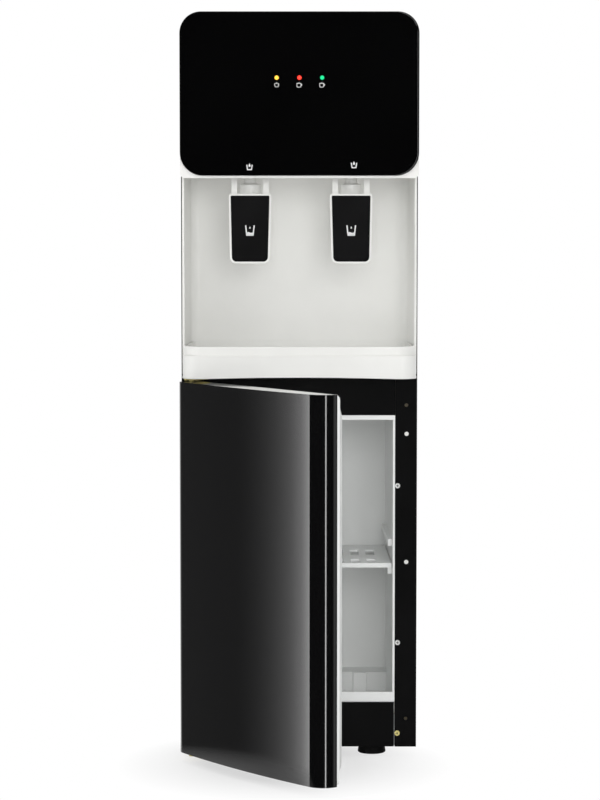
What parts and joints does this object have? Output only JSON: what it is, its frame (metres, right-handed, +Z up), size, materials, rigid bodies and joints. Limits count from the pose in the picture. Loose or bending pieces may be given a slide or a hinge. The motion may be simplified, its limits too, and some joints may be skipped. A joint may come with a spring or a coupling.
{
  "type": "floor standing water cooler",
  "caption": "Slim floor-standing water cooler: gloss head panel over two paddle taps and a cup alcove, above a storage cabinet with a bowed hinged door.",
  "frame": {"origin": "centre of the cabinet's footprint, on the floor", "axes": "+X to the viewer's right facing the taps, -Y out of the front, +Z up"},
  "size_m": [0.3124, 0.5794, 0.9837],
  "materials": {
    "black_steel": "satin",
    "galvanised_steel": "galvanised",
    "steel_screw": "bright zinc",
    "yellow_zinc": "yellow zinc plate",
    "white_plastic": "satin gloss",
    "liner_plastic": "satin",
    "black_gloss": "high gloss",
    "black_satin": "satin",
    "black_foot": "matt",
    "black_enamel": "semi-matt",
    "natural_plastic": "satin",
    "spring_steel": "bright",
    "stainless": "brushed",
    "copper": "drawn",
    "foam": "matt foam",
    "board": "satin",
    "rubber": "matt",
    "silicone": "translucent",
    "white_gasket": "matt",
    "amber_lens": "lit lens",
    "red_lens": "lit lens",
    "green_lens": "lit lens",
    "red_switch": "gloss",
    "green_switch": "gloss"
  },
  "bodies": {
    "cabinet": {"left_side_panel": "black_steel", "right_side_panel": "black_steel", "rear_panel": "black_steel", "header_panel": "black_steel", "kick_plate": "black_steel", "base_plate": "galvanised_steel", "mid_deck": "galvanised_steel", "liner_screws": "steel_screw", "hinge_screws": "yellow_zinc", "upper_hinge": "yellow_zinc", "lower_hinge": "yellow_zinc", "flange_plugs": "white_plastic", "cabinet_liner": "liner_plastic", "liner_foam": "foam", "levelling_feet": "black_foot", "head_housing": "white_plastic", "alcove_moulding": "white_plastic", "display_panel": "black_gloss", "power_lens": "amber_lens", "heat_lens": "red_lens", "cool_lens": "green_lens", "circuit_boards": "board", "left_tap_body": "white_plastic", "right_tap_body": "white_plastic", "top_cover": "black_satin", "bottle_seat": "white_plastic", "probe_spike": "natural_plastic", "cold_tank": "stainless", "cold_tank_foam": "foam", "evaporator_coil": "copper", "hot_tank": "stainless", "hot_thermostats": "black_satin", "compressor": "black_enamel", "compressor_mounts": "rubber", "condenser": "black_enamel", "condenser_brackets": "black_enamel", "filter_drier": "copper", "power_inlet": "black_satin", "switch_bezel": "black_satin", "drain_outlet": "white_plastic", "water_tubes": "silicone"},
    "door": {"door_shell": "black_gloss", "door_foam": "foam", "door_caps": "black_gloss", "door_liner": "liner_plastic", "door_gasket": "white_gasket"},
    "shelf": {"shelf": "liner_plastic"},
    "left_lever": {"left_paddle": "white_plastic", "left_paddle_inset": "black_satin"},
    "right_lever": {"right_paddle": "white_plastic", "right_paddle_inset": "black_satin"},
    "left_valve": {"left_valve_stem": "natural_plastic", "left_valve_spring": "spring_steel"},
    "right_valve": {"right_valve_stem": "natural_plastic", "right_valve_spring": "spring_steel"},
    "tray": {"drip_tray": "white_plastic"},
    "grille": {"drip_grille": "white_plastic"},
    "heat_rocker": {"heat_switch": "red_switch"},
    "cool_rocker": {"cool_switch": "green_switch"},
    "drain_plug": {"drain_cap": "white_plastic"}
  },
  "joints": [
    {"name": "door_swing", "type": "hinge", "parent": "cabinet", "child": "door", "pos_m": [-0.1418, -0.171, 0.25], "axis": [0, 0, 1], "range_deg": [-68.8, 51.2]},
    {"name": "shelf_slide", "type": "slide", "parent": "cabinet", "child": "shelf", "axis": [0, 1, 0], "range_m": [-0.018, 0]},
    {"name": "left_tap_press", "type": "hinge", "parent": "cabinet", "child": "left_lever", "pos_m": [-0.0645, -0.15, 0.8], "axis": [1, 0, 0], "range_deg": [0, 9], "stiffness_Nm_per_rad": 0.6, "springref_deg": -2.86},
    {"name": "left_valve_lift", "type": "slide", "parent": "cabinet", "child": "left_valve", "axis": [0, 0, 1], "range_m": [0, 0.00251], "deforming": ["left_valve_spring"]},
    {"name": "right_tap_press", "type": "hinge", "parent": "cabinet", "child": "right_lever", "pos_m": [0.0675, -0.15, 0.8], "axis": [1, 0, 0], "range_deg": [0, 9], "stiffness_Nm_per_rad": 0.6, "springref_deg": -2.86},
    {"name": "right_valve_lift", "type": "slide", "parent": "cabinet", "child": "right_valve", "axis": [0, 0, 1], "range_m": [0, 0.00251], "deforming": ["right_valve_spring"]},
    {"name": "tray_lift", "type": "slide", "parent": "cabinet", "child": "tray", "axis": [0, 0, 1], "range_m": [0, 0.03]},
    {"name": "grille_lift", "type": "slide", "parent": "tray", "child": "grille", "axis": [0, 0, 1], "range_m": [0, 0.02]},
    {"name": "heat_rock", "type": "hinge", "parent": "cabinet", "child": "heat_rocker", "pos_m": [0.048, 0.1555, 0.8625], "axis": [1, 0, 0], "range_deg": [0, 12]},
    {"name": "cool_rock", "type": "hinge", "parent": "cabinet", "child": "cool_rocker", "pos_m": [0.084, 0.1555, 0.8625], "axis": [1, 0, 0], "range_deg": [0, 12]},
    {"name": "drain_pull", "type": "slide", "parent": "cabinet", "child": "drain_plug", "axis": [0, 1, 0], "range_m": [0, 0.02]}
  ],
  "couplings": [
    {"joint": "left_valve_lift", "follows": "left_tap_press", "m_per_rad": 0.016},
    {"joint": "right_valve_lift", "follows": "right_tap_press", "m_per_rad": 0.016}
  ]
}
